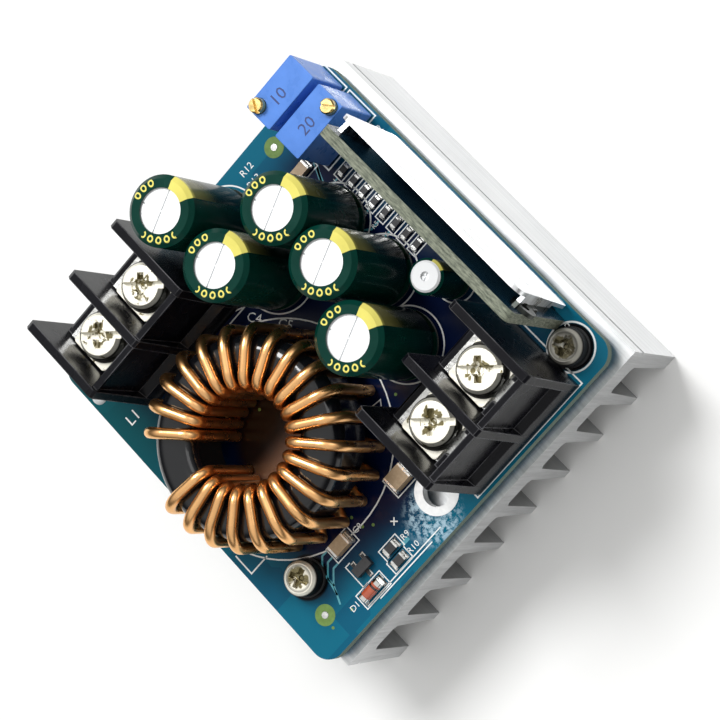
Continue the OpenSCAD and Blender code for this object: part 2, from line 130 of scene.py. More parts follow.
class Shader:
    """A Principled material under construction, with the few nodes that every finish here uses."""

    def __init__(self, name, colour, roughness, metallic=0.0):
        self.material = bpy.data.materials.new(name)
        self.material.use_nodes = True
        self.tree = self.material.node_tree
        self.tree.nodes.clear()
        self.bsdf = self.node("BsdfPrincipled")
        self.feed(self.node("OutputMaterial").inputs[0], self.bsdf.outputs[0])
        self.set(Base_Color=colour, Roughness=roughness, Metallic=metallic)

    def node(self, kind, **options):
        """Adds a node of a kind, with its own options set."""
        node = self.tree.nodes.new("ShaderNode" + kind)
        for key, value in options.items():
            setattr(node, key, value)
        return node

    def feed(self, socket, value):
        """Links an output to a socket, or sets a constant number, vector or colour on it."""
        if isinstance(value, bpy.types.NodeSocket):
            self.tree.links.new(value, socket)
        elif isinstance(value, (int, float)):
            socket.default_value = value
        else:
            socket.default_value = (*value, 1.0) if len(socket.default_value) == 4 else value

    def fill(self, node, **sockets):
        """Feeds a node's sockets by name, with _ for a space, and returns its first output."""
        for key, value in sockets.items():
            self.feed(node.inputs[key.replace("_", " ")], value)
        return node.outputs[0]

    def set(self, **sockets):
        """Feeds the finish itself."""
        self.fill(self.bsdf, **sockets)
        return self

    def base(self, output):
        return self.set(Base_Color=output)

    def rough(self, output):
        return self.set(Roughness=output)

    def point(self, stretch=(1, 1, 1), shift=(0, 0, 0), turn=(0, 0, 0)):
        """Object coordinates, moved by -shift, turned and scaled."""
        move = self.node("VectorMath", operation="SUBTRACT")
        self.feed(move.inputs[0], self.node("TexCoord").outputs["Object"])
        self.feed(move.inputs[1], shift)
        return self.fill(self.node("Mapping"), Vector=move.outputs[0], Scale=stretch, Rotation=turn)

    def noise(self, scale, detail=4.0, rough=0.55, vector=None, distortion=0.0):
        return self.fill(self.node("TexNoise"), Scale=scale, Detail=detail, Roughness=rough,
                         Distortion=distortion, Vector=vector or self.point())

    def patches(self, scale, vector):
        """Square cells, each of one random colour."""
        node = self.node("TexVoronoi", feature="F1", distance="CHEBYCHEV")
        self.fill(node, Scale=scale, Vector=vector)
        return node.outputs["Color"]

    def math(self, operation, a, b=0.0):
        node = self.node("Math", operation=operation)
        self.feed(node.inputs[0], a)
        self.feed(node.inputs[1], b)
        return node.outputs[0]

    def product(self, a, *others):
        for other in others:
            a = self.math("MULTIPLY", a, other)
        return a

    def hypotenuse(self, x, y):
        return self.math("SQRT", self.math("ADD", self.product(x, x), self.product(y, y)))

    def near(self, value, target, tolerance):
        """1 where a value is within a tolerance of a target."""
        return self.math("LESS_THAN", self.math("ABSOLUTE", self.math("SUBTRACT", value, target)), tolerance)

    def range(self, value, a, b, c=0.0, d=1.0, smooth=False):
        """Maps a..b to c..d, and keeps to that range."""
        node = self.node("MapRange", interpolation_type="SMOOTHSTEP" if smooth else "LINEAR")
        return self.fill(node, Value=value, From_Min=a, From_Max=b, To_Min=c, To_Max=d)

    def middling(self, noise, low, high):
        """Spreads the usual values of a noise over low..high."""
        return self.range(noise, 0.3, 0.7, low, high)

    def mix(self, factor, a, b):
        node = self.node("Mix", data_type="RGBA")
        for socket, value in ((0, factor), (6, a), (7, b)):
            self.feed(node.inputs[socket], value)
        return node.outputs[2]

    def axes(self, vector):
        node = self.node("SeparateXYZ")
        self.feed(node.inputs[0], vector)
        return node.outputs

    def facing(self, axis, limit):
        """1 where the surface faces along an axis, either way, by more than a limit."""
        normal = self.node("NewGeometry").outputs["Normal"]
        return self.math("GREATER_THAN", self.math("ABSOLUTE", self.axes(normal)[axis]), limit)

    def bevel(self, radius, samples):
        """The normal of edges softened by a small radius."""
        node = self.node("Bevel", samples=samples)
        return self.fill(node, Radius=radius)

    def edges(self, radius):
        """1 on edges sharper than a small radius, 0 elsewhere."""
        turn = self.node("VectorMath", operation="DOT_PRODUCT")
        self.feed(turn.inputs[0], self.bevel(radius, 8))
        self.feed(turn.inputs[1], self.node("NewGeometry").outputs["Normal"])
        return self.range(turn.outputs["Value"], 0.99, 0.86)

    def reach(self, place):
        """Distance from an upright line through a place, in metres."""
        x, y, _ = self.axes(self.point(shift=(place[0], place[1], 0)))
        return self.hypotenuse(x, y)

    def bump(self, height, strength, distance=0.0001, edge=0.0):
        """Bump from a height, over edges softened by a small radius."""
        node = self.node("Bump")
        if edge:
            self.fill(node, Normal=self.bevel(edge, 6))
        return self.set(Normal=self.fill(node, Strength=strength, Distance=distance, Height=height))

    def clouds(self, scale, low, high, detail=4.0):
        """Base colour that drifts between two colours."""
        return self.base(self.mix(self.noise(scale, detail), low, high))


def dress(names, shader):
    """Gives carried-over CAD nodes their finish."""
    for name in [names] if isinstance(names, str) else names:
        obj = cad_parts[name]
        obj.data.materials.clear()
        obj.data.materials.append(shader.material)


# ---- meshes ----------------------------------------------------------------------------------

class Sheet:
    """A mesh gathered from many small marks or lumps that share one finish; sizes are in millimetres."""

    def __init__(self):
        self.bm = bmesh.new()

    def vert(self, x, y, z):
        return self.bm.verts.new(on_board(x, y, z))

    def circle(self, x, y, radius, z, steps):
        """Corner points round a centre, without faces."""
        return [self.vert(x + radius * math.cos(math.tau * i / steps),
                          y + radius * math.sin(math.tau * i / steps), z) for i in range(steps)]

    def skirt(self, rows):
        """Faces between rows of as many points, or from one point to the next row."""
        for a, b in zip(rows, rows[1:]):
            for i in range(len(b)):
                j = (i + 1) % len(b)
                self.bm.faces.new((a[0], b[i], b[j]) if len(a) == 1 else (a[i], b[i], b[j], a[j]))

    def ribbon(self, points, width, thick, closed=False):
        """Flat raised line through points."""
        count = len(points)
        left, right = [], []
        for i, p in enumerate(points):
            p = Vector(p)
            before = p - Vector(points[i - 1] if closed or i else p)
            after = Vector(points[(i + 1) % count] if closed or i < count - 1 else p) - p
            before, after = (before.normalized() if before.length else after.normalized(),
                             after.normalized() if after.length else before.normalized())
            tangent = (before + after).normalized()
            side = Vector((-tangent.y, tangent.x))
            spread = width / 2 / max(0.35, side.dot(Vector((-before.y, before.x))))
            left.append(p + side * spread)
            right.append(p - side * spread)
        lows = [[self.vert(q.x, q.y, 0.0) for q in row] for row in (left, right)]
        highs = [[self.vert(q.x, q.y, thick) for q in row] for row in (left, right)]
        for i in range(count if closed else count - 1):
            j = (i + 1) % count
            self.bm.faces.new((highs[0][i], highs[1][i], highs[1][j], highs[0][j]))
            self.bm.faces.new((highs[0][j], lows[0][j], lows[0][i], highs[0][i]))
            self.bm.faces.new((highs[1][i], lows[1][i], lows[1][j], highs[1][j]))
        if not closed:
            for i in (0, count - 1):
                self.bm.faces.new((highs[0][i], lows[0][i], lows[1][i], highs[1][i]))

    def ring(self, x, y, radius, width, thick):
        points = [(x + radius * math.cos(math.tau * i / 60), y + radius * math.sin(math.tau * i / 60))
                  for i in range(60)]
        self.ribbon(points, width, thick, closed=True)

    def frame(self, x, y, w, h, width, thick):
        """Outline of a rectangle."""
        corners = [(-w / 2, -h / 2), (w / 2, -h / 2), (w / 2, h / 2), (-w / 2, h / 2)]
        self.ribbon([(x + a, y + b) for a, b in corners], width, thick, closed=True)

    def disc(self, x, y, radius, z, thick, steps=28):
        """Flat disc with a slanted edge."""
        self.skirt([[self.vert(x, y, z + thick)], self.circle(x, y, radius - thick, z + thick, steps),
                    self.circle(x, y, radius, z, steps)])

    def slab(self, x, y, w, h, thick, bevel):
        """Low block with slanted edges."""
        rows = [[self.vert(x + p * a, y + q * b, z) for p, q in ((-1, -1), (1, -1), (1, 1), (-1, 1))]
                for a, b, z in ((w / 2, h / 2, 0.0), (w / 2, h / 2, thick * 0.55),
                                (w / 2 - bevel, h / 2 - bevel, thick))]
        self.skirt(rows)
        self.bm.faces.new(rows[-1])

    def fillet(self, x, y, radius, tip, z, depth, steps=18):
        """Solder round a lead under the board: a concave cone that points down."""
        rows = [self.circle(x, y, tip + (radius - tip) * (1 - t) ** 2, z - depth * t, steps)
                for t in (0.0, 0.25, 0.5, 0.75, 1.0)]
        self.skirt(rows)
        self.bm.faces.new(rows[-1])

    def words(self, text, x, y, size, turn, thick, z=0.0):
        """Generic designator, such as a letter with a number."""
        curve = bpy.data.curves.new("designator", "FONT")
        curve.body = text
        curve.size = size * MM
        curve.resolution_u = 2
        curve.align_x = "CENTER"
        curve.align_y = "CENTER"
        holder = bpy.data.objects.new("designator", curve)
        bpy.context.collection.objects.link(holder)
        bpy.context.view_layer.update()
        mesh = bpy.data.meshes.new_from_object(holder)
        place = Matrix.Translation(on_board(x, y, z + thick))
        mesh.transform(place @ Matrix.Rotation(math.radians(turn), 4, "Z"))
        self.bm.from_mesh(mesh)
        bpy.data.objects.remove(holder)
        bpy.data.curves.remove(curve)
        bpy.data.meshes.remove(mesh)

    def piece(self, name, shader, body="base"):
        """Turns the gathered faces into one piece that rides on a body."""
        bmesh.ops.recalc_face_normals(self.bm, faces=self.bm.faces)
        mesh = bpy.data.meshes.new(name)
        self.bm.to_mesh(mesh)
        self.bm.free()
        obj = bpy.data.objects.new(name, mesh)
        bpy.context.collection.objects.link(obj)
        mesh.materials.append(shader.material)
        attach(obj, body)


# ---- settings ----------------------------------------------------------------------------------

def colour(name, description, default):
    return FloatVectorProperty(name=name, description=description, default=default,
                               subtype="COLOR", size=3, min=0.0, max=1.0)


def length(name, description, default, top=50.0):
    return FloatProperty(name=name, description=description + ", in millimetres", default=default,
                         min=0.0, max=top)


class BUCK_PG_sizes(bpy.types.PropertyGroup):
    """Sizes of what is printed, plated and soldered on the board."""
    silk_line: length("Silk line", "Width of the printed outlines", 0.22, 2.0)
    silk_rise: length("Silk rise", "Thickness of the printed ink", 0.02, 0.5)
    cap_ring: length("Capacitor ring", "Radius of the ring printed round a large capacitor", 5.4, 12.0)
    coil_ring: length("Coil ring", "Radius of the ring printed round the inductor", 16.9, 30.0)
    screw_ring: length("Screw ring", "Radius of the ring printed round a board screw", 3.15, 8.0)
    trace: length("Trace", "Width of the visible fine traces", 0.28, 2.0)
    fillet: length("Solder fillet", "Radius of the solder round a lead", 1.1, 4.0)
    letters: length("Letters", "Height of the designators", 1.3, 5.0)


class BUCK_PG_colours(bpy.types.PropertyGroup):
    """Colours that the finishes are built from."""
    mask: colour("Solder mask", "Blue lacquer over copper", (0.004, 0.118, 0.19))
    mask_deep: colour("Deep mask", "Blue lacquer over bare laminate", (0.003, 0.08, 0.15))
    # the dark mask is painted shade in among the tall parts
    mask_shade: colour("Dark mask", "Blue lacquer in among the tall parts", (0.001, 0.006, 0.035))
    laminate: colour("Laminate", "Cut edge of a board", (0.16, 0.21, 0.17))
    silk: colour("Silk", "Printed ink", (0.84, 0.86, 0.85))
    tin: colour("Tin", "Solder and tinned copper", (0.72, 0.72, 0.70))
    copper: colour("Copper", "Enamelled winding wire", (0.92, 0.50, 0.20))
    sleeve: colour("Sleeve", "Shrink sleeve of the capacitors", (0.0015, 0.035, 0.025))
    stripe: colour("Stripe", "Polarity stripe of the capacitors", (0.80, 0.72, 0.17))
    moulding: colour("Moulding", "Black terminal plastic", (0.004, 0.004, 0.006))
    trimmer: colour("Trimmer", "Blue trimmer plastic", (0.075, 0.22, 0.66))
    brass: colour("Brass", "Adjusting screws", (0.82, 0.60, 0.24))
    nickel: colour("Nickel", "Plated screws and washers", (0.92, 0.89, 0.78))
    aluminium: colour("Aluminium", "Heat sink and cover plate", (0.80, 0.81, 0.82))


class BUCK_PG_studio(bpy.types.PropertyGroup):
    """Floor, lights and camera."""
    key: FloatProperty(name="Key", description="Power of the key light, in watts", default=5.5, min=0.0)
    top: FloatProperty(name="Top", description="Power of the second light, in watts", default=0.6, min=0.0)
    fill: FloatProperty(name="Fill", description="Power of the fill light, in watts", default=0.3, min=0.0)
    sky: FloatProperty(name="Sky", description="Strength of the surroundings overhead", default=0.85, min=0.0)
    horizon: FloatProperty(name="Horizon", description="Strength of the surroundings low down",
                           default=0.10, min=0.0)
    floor: colour("Floor", "Colour of the floor", (0.90, 0.90, 0.895))
    focal: FloatProperty(name="Focal length", description="Lens of the camera, in millimetres",
                         default=126.2, min=10.0, max=500.0)


def sizes():
    return bpy.context.scene.buck_sizes


def colours():
    return bpy.context.scene.buck_colours


def tint(value, gain):
    return tuple(min(1.0, c * gain) for c in value)


# ---- finishes ----------------------------------------------------------------------------------

def tin_finish(name):
    s = Shader(name, colours().tin, 0.24, 1.0)
    blotch = s.noise(1400, 3)
    s.rough(s.range(blotch, 0.35, 0.7, 0.16, 0.42))
    s.base(s.mix(blotch, tint(colours().tin, 0.75), tint(colours().tin, 1.1)))
    return s.bump(s.noise(2600, 3), 0.25, 0.00008)


def nickel_finish(name, axes, seed, shade_ring=None, shaded_flank=None, rim=None, shade=None):
    """Plating, bright outside and mottled with painted dark reflections in the recess round each upright
    axis.

    seam is the radius of a ring of painted shade under a head, flank the radius where painted shade darkens a
    head's side, rim the same for a head with a painted highlight ring inside it, and shade a place in the
    dark that gets painted shade.
    """
    nickel = colours().nickel
    s = Shader(name, nickel, 0.4, 0.7)
    where = s.point(shift=(seed, seed, 0))
    near = s.reach(axes[0])
    for axis in axes[1:]:
        near = s.math("MINIMUM", near, s.reach(axis))
    # painted dark reflections, mottled over the plating and gathered in the recess round each axis
    recess = s.range(near, 0.0012, 0.0023, -0.13 if rim else -0.07, 0.14, smooth=True)
    reflection_mottle = s.math("ADD", s.noise(620, 2, 0.5, where, 0.8), recess)
    reflection_patch = s.range(reflection_mottle, 0.42, 0.50, smooth=True)
    dark_reflection = s.mix(s.noise(1300, 3, 0.6, where), (0.035, 0.028, 0.008), (0.40, 0.34, 0.17))
    scuff = s.noise(2200, 5, 0.7, where)
    base = s.mix(reflection_patch, dark_reflection, tint(nickel, 1.05))
    base = s.mix(s.range(scuff, 0.58, 0.8), base, tint(nickel, 0.55))
    # painted shade: a dark ring round the head, under its edge
    if shade_ring:
        base = s.mix(s.math("LESS_THAN", near, shade_ring + 0.0004), base, tint(nickel, 0.045))
    # painted shade on the head's side
    if shaded_flank:
        base = s.mix(s.range(near, shaded_flank, shaded_flank + 0.0001), base, (0.02, 0.02, 0.016))
    # a painted highlight ring just inside the rim, and painted shade beyond it
    if rim:
        land = s.mix(s.range(near, rim - 0.0009, rim - 0.0005), base, tint(nickel, 0.35))
        land = s.mix(s.range(near, rim - 0.0005, rim - 0.0003), land, tint(nickel, 1.05))
        base = s.mix(s.range(near, rim - 0.0011, rim - 0.0008), base, land)
        base = s.mix(s.range(near, rim, rim + 0.00015), base, (0.004, 0.004, 0.005))
    if shade:
        base = s.mix(s.range(s.reach(shade), 0.003, 0.004, 0.6, 0.0), base, (0.01, 0.01, 0.012))
    s.base(base)
    s.rough(s.range(reflection_patch, 0, 1, 0.25, 0.5))
    dents = s.math("ADD", s.noise(700, 2, 0.5, where), s.product(scuff, 0.2))
    return s.bump(dents, 0.3, 0.0002, 0.00012)


class BUCK_OT_board(bpy.types.Operator):
    """Solder mask, laminate edges and hole walls of the main board"""
    bl_idname = "buck.board"
    bl_label = "Board finish"

    def lacquer(self, s, pour):
        """Blue lacquer, lighter over copper, with painted shade in among the tall parts."""
        c = colours()
        mask = s.mix(pour, c.mask_deep, c.mask)
        mask = s.mix(s.middling(s.noise(60, 3), 0.0, 0.3), mask, tint(c.mask, 1.3))
        x, y, _ = s.axes(s.point(shift=BOARD_MID))
        outward = s.math("MAXIMUM", s.math("ABSOLUTE", x), s.math("ABSOLUTE", y))
        wander = s.product(s.math("SUBTRACT", s.noise(120, 2), 0.5), 0.006)
        # painted shade: the lacquer darkens away from the open border, in among the tall parts
        unshaded_part = s.range(s.math("ADD", outward, wander), 0.0195, 0.0282, smooth=True)
        mask = s.mix(unshaded_part, c.mask_shade, mask)
        # greener and deeper towards one end of the front edge
        corner = s.product(s.range(y, -0.0190, -0.0275, smooth=True), s.range(x, 0.022, -0.016, smooth=True))
        return s.mix(s.product(corner, 0.8), mask, (0.001, 0.062, 0.062))

    def bore_shade_and_glare(self, s, mask):
        """Painted shade and a painted copper reflection in the bore of the inductor, and a speckled painted
        glare on the board beside the eyelet.
        """
        coil = middle("toroid_core")
        # painted shade in the bore, going over to a painted reflection of the copper towards one side
        bore = s.range(s.reach(coil), 0.006, 0.0085, 1.0, 0.0, smooth=True)
        across = s.range(s.axes(s.point(shift=coil))["X"], -0.0015, 0.0025, smooth=True)
        mask = s.mix(bore, mask, s.mix(across, (0.012, 0.006, 0.004), (0.15, 0.085, 0.055)))
        hole = middle("hole_eyelet")
        # a speckled painted glare on the board beside the eyelet
        beside = s.reach((hole.x + 0.0018, hole.y - 0.0026))
        glare_spot = s.range(beside, 0.0026, 0.0052, 0.85, 0.0, smooth=True)
        glare_speckle = s.range(s.noise(1300, 4, 0.7), 0.44, 0.58)
        return s.mix(s.product(glare_spot, glare_speckle), mask, (0.42, 0.58, 0.68))

    def execute(self, context):
        c = colours()
        s = Shader("solder_mask", c.mask, 0.16)
        s.set(Specular_IOR_Level=0.12)
        pour = s.range(s.patches(105, s.point(shift=(0.003, 0.001, 0))), 0.44, 0.47)
        mask = self.bore_shade_and_glare(s, self.lacquer(s, pour))
        for lo, hi in islands("flat_washers"):
            halo = s.range(s.reach((lo + hi) / 2), 0.0031, 0.0034, 1.0, 0.0)
            mask = s.mix(halo, mask, (0.002, 0.002, 0.003))
        face = s.facing("Z", 0.6)
        fibre = s.noise(1800, 4, 0.6, s.point(stretch=(1, 1, 6)))
        edge = s.mix(fibre, tint(c.laminate, 0.55), tint(c.laminate, 1.1))
        s.base(s.mix(face, edge, mask))
        s.rough(s.range(face, 0, 1, 0.65, 0.2))
        weave = s.noise(900, 2, 0.5, s.point(stretch=(1, 1, 0.2)))
        s.bump(s.math("ADD", s.product(weave, 0.35), pour), 0.35, 0.00003)
        dress("main_board", s)
        return {"FINISHED"}


class BUCK_OT_silk(bpy.types.Operator):
    """White outlines, rings and generic designators printed on the board"""
    bl_idname = "buck.silk"
    bl_label = "Silk marks"

    # text, place, height in millimetres and turn of the marks that belong to no chip
    LOOSE = (("L1", -16.4, -26.6, 2.4, 90), ("R12", -27.8, 11.0, 1.5, 90), ("R13", -25.8, 10.6, 1.5, 90),
             ("C4", -12.2, -3.2, 2.0, 33), ("C5", -8.0, -0.5, 2.0, 33), ("R2", 22.8, 27.4, 1.7, 90),
             ("P2", -16.4, 28.2, 1.8, 90), ("P1", -23.4, 12.6, 1.5, 90))
    BORDER = (-29.0, 29.4)    # how far along X an outline may reach

    def outlines(self, sheet, z):
        """Outlines and rings round the large parts."""
        line, rise = z.silk_line, z.silk_rise
        for i in range(1, CAPACITORS + 1):
            p = from_board(middle("capacitor_can_%d" % i))
            sheet.ring(p.x, p.y, z.cap_ring, line, rise)
            sheet.words("+", p.x - 4.2, p.y - 4.6, 1.5, 0, rise)
        p = from_board(middle("small_capacitor_can"))
        sheet.ring(p.x, p.y, 2.9, line, rise)
        p = from_board(middle("toroid_core"))
        sheet.ring(p.x, p.y, z.coil_ring, line, rise)
        front = p.y - z.coil_ring
        sheet.ribbon([(p.x + 6.2, front), (p.x + 9.7, front), (p.x + 9.7, front + 3.5)], line, rise)
        for q, _ in spots("flat_washers"):
            if q.x > 0 and q.y > 0:
                sheet.ring(q.x, q.y, z.screw_ring + 0.25, line * 1.2, rise)
        for name in ("trimmer_body_1", "trimmer_body_2"):
            q, size = footprint(name)
            sheet.frame(q.x, q.y, size.x + 0.6, size.y + 0.6, line, rise)
        for name in ("left_terminal_housing", "right_terminal_housing"):
            q, size = footprint(name)
            half = min(size.y / 2 + 0.5, BOARD_HI.y / MM)
            x0 = max(q.x - size.x / 2 - 0.6, self.BORDER[0])
            x1 = min(q.x + size.x / 2 + 0.6, self.BORDER[1])
            low, high = q.y - half, q.y + half
            sheet.ribbon([(x0, low), (x1, low), (x1, high), (x0, high)], line, rise)

    def small_parts(self, sheet, z):
        """Outlines and designators of the chips, the transistor and the diode."""
        thin, rise = z.silk_line * 0.75, z.silk_rise
        resistors, ceramics = spots("chip_resistors"), spots("chip_capacitors")
        for q, size in resistors + ceramics:
            sheet.frame(q.x, q.y, size.x + 0.75, size.y + 1.5, thin, rise)
        for number, (q, _) in enumerate(resistors, 1):
            if q.y < 0:
                sheet.words("R%d" % number, q.x + 0.2, q.y + 2.7, z.letters, 90, rise)
            else:
                sheet.words("R%d" % number, q.x, q.y - 2.4, z.letters * 0.8, 90, rise)
        for number, (q, _) in enumerate(ceramics, 7):
            sheet.words("C%d" % number, q.x, q.y + 3.2, z.letters, 90, rise)
        q = from_board(middle("chip_transistor"))
        sheet.ribbon([(q.x + a, q.y + b) for a, b in ((-1.9, -1.2), (-1.9, -2.1), (1.9, -2.1), (1.9, -1.2))],
                     thin, rise)
        sheet.words("Q1", q.x + 2.8, q.y + 0.4, z.letters, 90, rise)
        q = from_board(middle("glass_diode"))
        sheet.frame(q.x, q.y, 2.5, 5.0, thin, rise)
        sheet.words("D1", q.x - 0.3, q.y - 3.6, z.letters, 90, rise)

    def execute(self, context):
        z = sizes()
        line, rise = z.silk_line, z.silk_rise
        sheet = Sheet()
        self.outlines(sheet, z)
        self.small_parts(sheet, z)
        q = from_board(middle("hole_eyelet"))
        sheet.words("+", q.x - 1.6, q.y - 7.4, 2.4, 45, rise)
        for x, y0, y1 in ((28.3, -19.6, -4.2), (28.85, -17.5, -6.5)):
            sheet.ribbon([(x, y0), (x, y1)], line * 0.8, rise)
        for text, x, y, size, turn in self.LOOSE:
            sheet.words(text, x, y, size, turn, rise)
        sheet.ribbon([(-15.9, -6.0), (-14.6, -3.4)], line, rise)
        sheet.ribbon([(9.4, -0.6), (11.6, 0.6), (9.8, 2.0)], line * 0.8, rise, closed=True)
        ink = Shader("silk_ink", colours().silk, 0.55)
        wear = ink.noise(2400, 4, 0.65)
        wear_and_edge_highlight = tint(colours().silk, 0.72)
        ink.base(ink.mix(ink.range(wear, 0.55, 0.75), colours().silk, wear_and_edge_highlight))
        ink.bump(wear, 0.2, 0.00002)
        sheet.piece("silk_marks", ink)
        return {"FINISHED"}


class BUCK_OT_copper(bpy.types.Operator):
    """Fine traces, vias, tinned pads and solder on the board"""
    bl_idname = "buck.copper"
    bl_label = "Traces, pads and solder"

    def traces(self, width):
        lines = Sheet()
        row = sorted((q for q, _ in spots("chip_resistors") if q.y > 0), key=lambda q: q.x)
        for i, p in enumerate(row):
            y = p.y - 1.6
            lines.ribbon([(p.x, y), (p.x, y - 1.0 - 0.15 * i), (p.x - 1.5, y - 2.4 - 0.2 * i),
                          (p.x - 1.5, y - 5.0)], width, COPPER_RISE)
            lines.ribbon([(p.x, p.y + 1.5), (p.x, p.y + 3.4), (p.x + 0.8, p.y + 4.4)], width, COPPER_RISE)
        for i in range(4):
            lines.ribbon([(-22.8 + 0.55 * i, 20.4 - 0.5 * i), (-19.4 + 0.55 * i, 18.4 - 0.35 * i),
                          (-17.6 + 0.4 * i, 17.6 - 0.4 * i)], width, COPPER_RISE)
        for i in range(3):
            x = 18.6 + 1.2 * i
            lines.ribbon([(x, -18.4), (x, -19.6), (x + 1.6, -21.2), (x + 4.2, -21.2 - 0.6 * i)],
                         width, COPPER_RISE)
        lines.ribbon([(26, -8.6), (26, -9.9)], 0.6, COPPER_RISE)
        lacquer = Shader("lacquered_trace", colours().mask, 0.22)
        lacquer.set(Coat_Weight=0.4, Coat_Roughness=0.1)
        lacquer.clouds(900, (0.03, 0.22, 0.30), (0.10, 0.42, 0.48), 3)
        lines.piece("traces", lacquer)

    def chip_solder(self, tin):
        """End caps, fillets and feet of the small parts."""
        for q, size in spots("chip_resistors") + spots("chip_capacitors"):
            for end in (-1, 1):
                tin.slab(q.x, q.y + end * (size.y / 2 - 0.16), size.x + 0.03, 0.36, size.z + 0.02, 0.03)
                tin.slab(q.x, q.y + end * (size.y / 2 + 0.2), size.x + 0.16, 0.5, size.z * 0.4, 0.16)
        q = from_board(middle("chip_transistor"))
        for x, y in ((-1.25, -0.95), (-1.25, 0.95), (1.25, 0)):
            tin.slab(q.x + x, q.y + y, 0.9, 0.7, 0.22, 0.16)
        q = from_board(middle("glass_diode"))
        for end in (-1, 1):
            tin.slab(q.x, q.y + end * 1.9, 1.7, 0.7, 0.45, 0.22)

    def execute(self, context):
        z = sizes()
        self.traces(z.trace)
        tin, pads = Sheet(), Sheet()
        random.seed(7)
        self.chip_solder(tin)
        for x, y in ((-26.8, 16.1), (24.6, -25.1)):
            pads.disc(x, y, 1.55, 0.0, 0.03)
            tin.disc(x, y, 0.55, 0.03, 0.05, steps=14)
        for x, y in [(random.uniform(-28, 28), random.uniform(-28, 26)) for _ in range(40)]:
            pads.disc(x, y, 0.24, 0.0, 0.015, steps=12)
        olive = Shader("lacquered_pad", (0.14, 0.24, 0.06), 0.35)
        olive.set(Specular_IOR_Level=0.2)
        olive.clouds(1500, (0.09, 0.15, 0.035), (0.20, 0.33, 0.09))
        olive.bump(olive.noise(1900, 3), 0.2, 0.00004)
        pads.piece("ring_pads", olive)
        under = from_board(BOARD_LO).z
        for name in ("left_terminal_contacts", "right_terminal_contacts"):
            for lo, hi in islands(name):
                y = from_board((lo + hi) / 2).y
                tin.fillet(from_board(hi).x - 0.45, y, z.fillet * 1.3, 0.75, under, 0.75)
        for q, _ in spots("capacitor_leads") + spots("trimmer_pins"):
            tin.fillet(q.x, q.y, z.fillet, 0.36, under, 0.7)
        tin.piece("solder_and_pads", tin_finish("solder"))
        return {"FINISHED"}


class BUCK_OT_heatsink(bpy.types.Operator):
    """Extruded aluminium with drawing lines along its length"""
    bl_idname = "buck.heatsink"
    bl_label = "Heat sink finish"

    def execute(self, context):
        metal = colours().aluminium
        s = Shader("sink_aluminium", metal, 0.38, 1.0)
        drawn = s.noise(260, 5, 0.7, s.point(stretch=(0.05, 6, 6)))
        sawn = s.noise(320, 5, 0.7, s.point(stretch=(1, 5, 0.25), turn=(0.2, 0, 0)))
        end = s.facing("X", 0.7)
        lines = s.mix(end, drawn, sawn)
        streak = s.range(lines, 0.3, 0.75)
        # painted shade darkens the sawn ends, and the channels between the fins darker still
        base = s.mix(end, s.mix(streak, tint(metal, 0.82), tint(metal, 1.1)),
                     s.mix(streak, tint(metal, 0.58), tint(metal, 0.86)))
        lo, hi = node_box("heatsink")
        across = s.axes(s.point(shift=(lo + hi) / 2))["Y"]
        within = s.near(across, 0.0, (hi.y - lo.y) / 2 - 0.001)
        normal = s.axes(s.node("NewGeometry").outputs["Normal"])
        channel_shade = s.product(within, s.near(normal["X"], 0.0, 0.5), s.math("LESS_THAN", normal["Z"], 0.5))
        s.base(s.mix(s.product(channel_shade, 0.65), base, (0.17, 0.175, 0.175)))
        s.rough(s.middling(s.noise(90, 3), 0.3, 0.46))
        s.bump(lines, 0.22, 0.0001)
        dress("heatsink", s)
        return {"FINISHED"}


class BUCK_OT_inductor(bpy.types.Operator):
    """Black coated core and enamelled copper winding"""
    bl_idname = "buck.inductor"
    bl_label = "Inductor finish"

    def execute(self, context):
        copper = colours().copper
        core = Shader("core_coating", (0.004, 0.0045, 0.006), 0.2)
        core.set(Specular_IOR_Level=0.55)
        grain = core.noise(700, 4, 0.6)
        core.rough(core.middling(grain, 0.08, 0.16))
        core.bump(grain, 0.1, 0.0002)
        dress("toroid_core", core)
        wire = Shader("enamelled_copper", copper, 0.27, 1.0)
        wire.set(Coat_Weight=0.5, Coat_Roughness=0.1, Coat_IOR=1.5, Specular_Tint=(1.0, 0.86, 0.62))
        drift = wire.range(wire.noise(130, 4, 0.6), 0.35, 0.7)
        tone = wire.mix(drift, tint(copper, 0.88), tint(copper, 1.08))
        # painted shade and copper reflection make the enamel darker and redder inside the bore
        bore = wire.range(wire.reach(middle("toroid_core")), 0.0050, 0.0068, 0.75, 0.0, smooth=True)
        wire.base(wire.mix(bore, tone, (0.42, 0.10, 0.045)))
        wire.rough(wire.middling(wire.noise(400, 3), 0.24, 0.33))
        wire.bump(wire.noise(260, 2), 0.05, 0.0001)
        dress("toroid_winding", wire)
        return {"FINISHED"}


